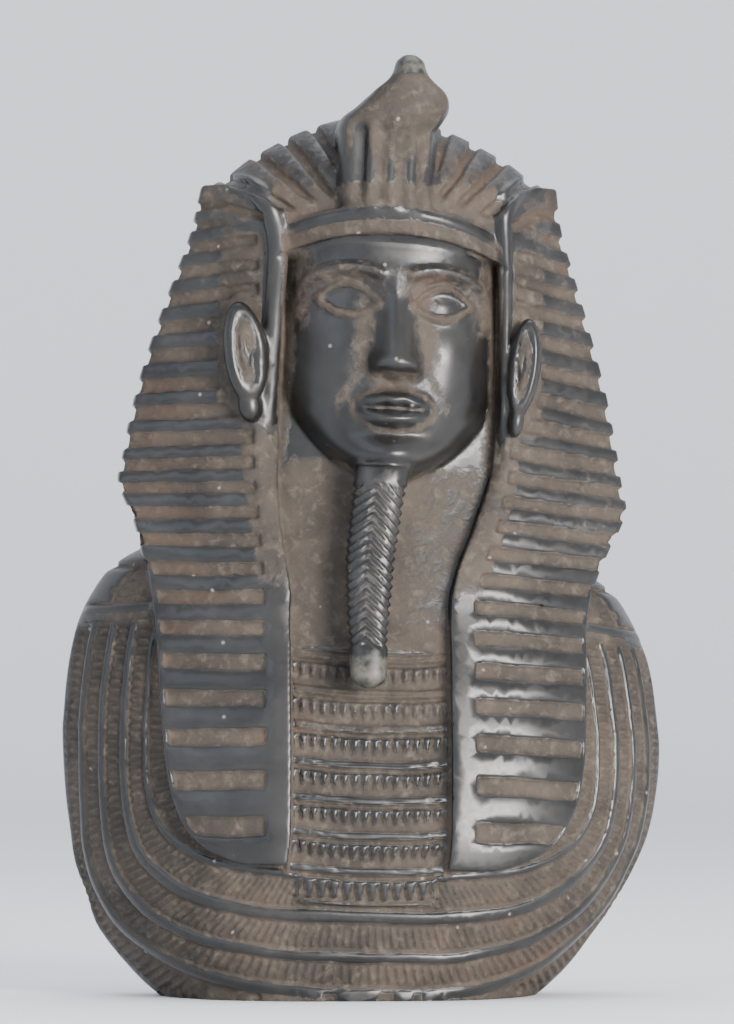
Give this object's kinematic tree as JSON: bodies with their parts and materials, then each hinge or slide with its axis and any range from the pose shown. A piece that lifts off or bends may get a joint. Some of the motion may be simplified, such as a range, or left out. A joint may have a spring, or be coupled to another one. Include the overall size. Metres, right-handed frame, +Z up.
{
  "type": "pharaoh bust",
  "caption": "Black stone bust of an Egyptian king in a striped headcloth with brow snake, plaited beard and broad bead collar, standing on its flat underside.",
  "frame": {"origin": "centre of the bounding box, on the flat underside that the bust stands on", "axes": "+Z up, +X across the shoulders to the right of somebody who faces the bust, -Y the way the face looks"},
  "size_m": [0.1614, 0.098, 0.25],
  "materials": {
    "stone": "polished black stone on the raised parts, matt brown in the cut recesses"
  },
  "bodies": {
    "root": {"bust": "stone"}
  },
  "joints": []
}
